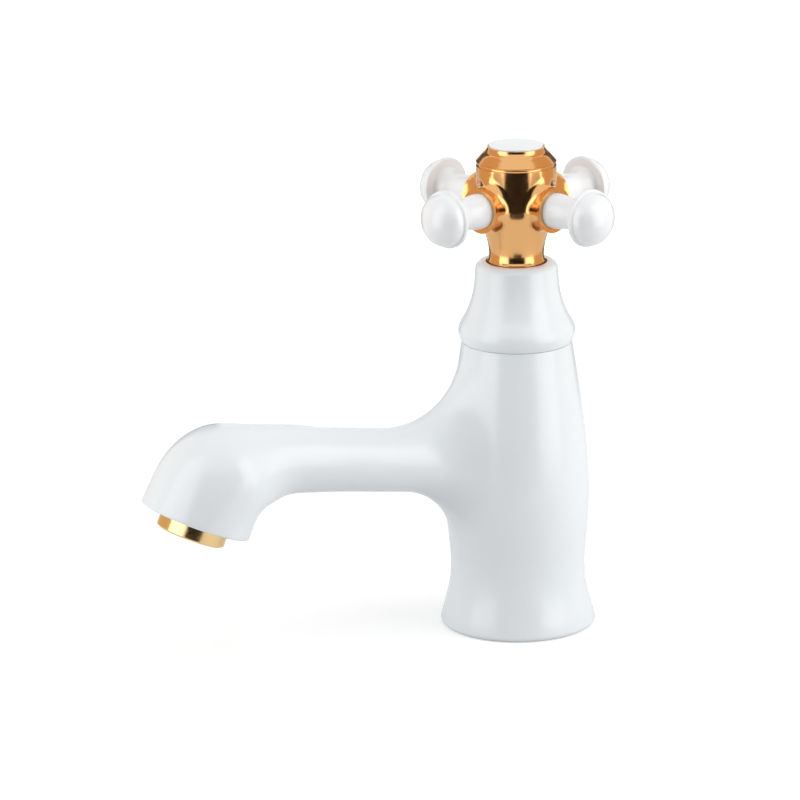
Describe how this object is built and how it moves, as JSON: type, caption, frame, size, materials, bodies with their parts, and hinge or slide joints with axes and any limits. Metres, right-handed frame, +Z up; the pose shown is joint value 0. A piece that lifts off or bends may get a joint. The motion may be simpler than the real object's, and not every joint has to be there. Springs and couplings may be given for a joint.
{
  "type": "basin pillar tap",
  "caption": "White enamelled basin tap with a gold-hubbed cross handle of white porcelain arms and a down-turned round spout; turning the handle opens a ceramic-disc valve.",
  "frame": {"origin": "centre of the foot on the deck surface", "axes": "+Z up along the column and handle axis, spout along -Y"},
  "size_m": [0.0712, 0.1585, 0.2008],
  "materials": {
    "white_enamel": "glossy stove enamel",
    "gold": "polished warm gold plate",
    "porcelain": "glossy glaze",
    "plain_brass": "turned, unplated",
    "rubber": "moulded black rubber",
    "fibre": "pressed fibre sheet",
    "disc_ceramic": "lapped ceramic",
    "steel": "bright steel",
    "white_plastic": "moulded plastic",
    "grey_plastic": "moulded plastic"
  },
  "bodies": {
    "tap": {"body_casting": "white_enamel", "inlet_tail": "plain_brass", "tail_seal": "fibre", "base_gasket": "rubber", "deck_washer": "rubber", "clamp_washer": "steel", "backnut": "plain_brass", "aerator_housing": "gold", "aerator_insert": "white_plastic", "aerator_screen": "steel", "aerator_seal": "rubber", "headwork_body": "plain_brass", "headwork_gasket": "fibre", "seat_seal": "rubber", "fixed_disc": "disc_ceramic", "slip_washer": "grey_plastic", "bonnet_shroud": "white_enamel"},
    "handle": {"handle_hub": "gold", "handle_arm_1": "porcelain", "handle_arm_2": "porcelain", "handle_arm_3": "porcelain", "handle_arm_4": "porcelain", "arm_studs": "plain_brass", "handle_insert": "white_plastic", "handle_screw": "steel", "index_button": "porcelain", "button_ring": "rubber", "spindle": "plain_brass", "spindle_orings": "rubber", "stop_ring": "plain_brass", "spindle_clip": "steel", "turning_disc": "disc_ceramic"}
  },
  "joints": [
    {"name": "handle_turn", "type": "hinge", "parent": "tap", "child": "handle", "pos_m": [0, 0, 0.134], "axis": [0, 0, 1], "range_deg": [0, 90]}
  ]
}
